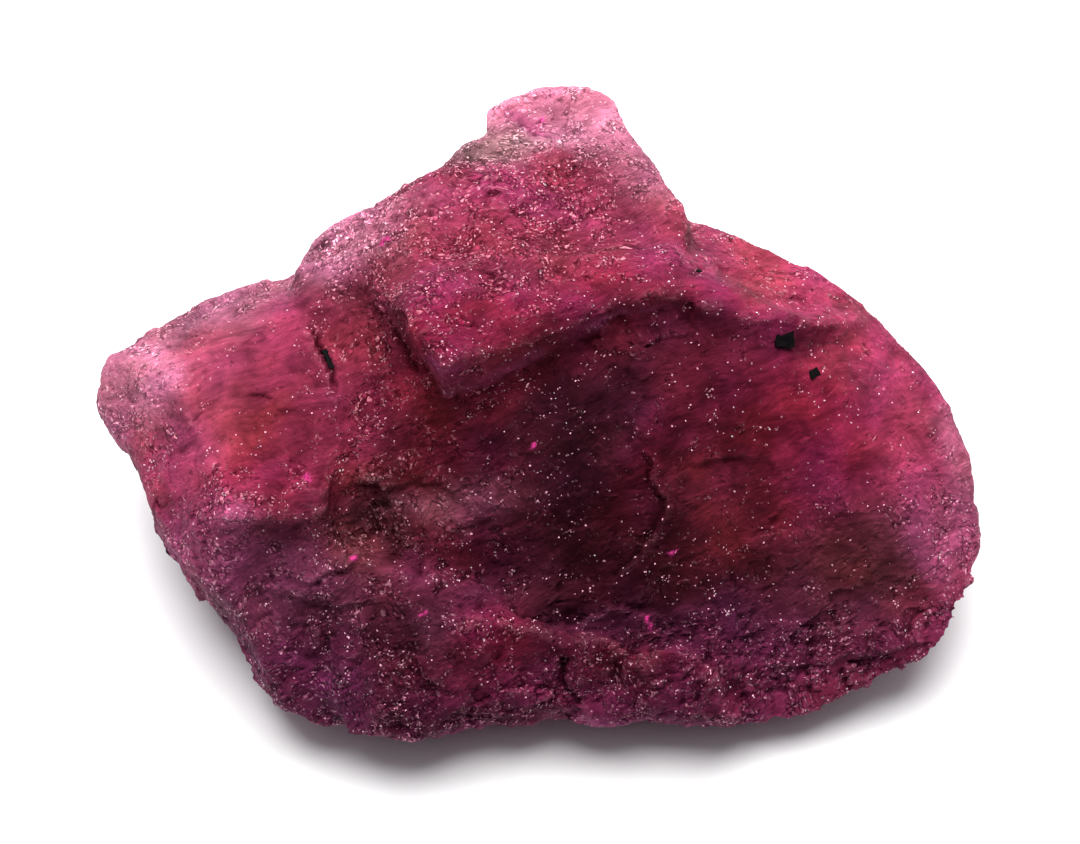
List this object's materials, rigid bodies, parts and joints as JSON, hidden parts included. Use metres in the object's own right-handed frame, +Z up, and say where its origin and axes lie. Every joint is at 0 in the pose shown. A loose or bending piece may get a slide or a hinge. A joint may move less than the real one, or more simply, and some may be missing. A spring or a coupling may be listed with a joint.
{
  "type": "raw ruby crystal",
  "caption": "Rough, broken piece of red corundum with a raised pale ledge, a smooth lobe and a dark front slope, lying on its flat underside.",
  "frame": {"origin": "middle of the stone's box, on the surface it lies on", "axes": "+X along the stone's length, towards its broad rounded end; +Y towards the pale tip; +Z up"},
  "size_m": [0.048, 0.0364, 0.0175],
  "materials": {
    "raw_corundum": "unpolished ruby: translucent crimson with a broken, waxy to glassy surface and a granular purple rim"
  },
  "bodies": {
    "root": {"ruby_crystal": "raw_corundum"}
  },
  "joints": []
}
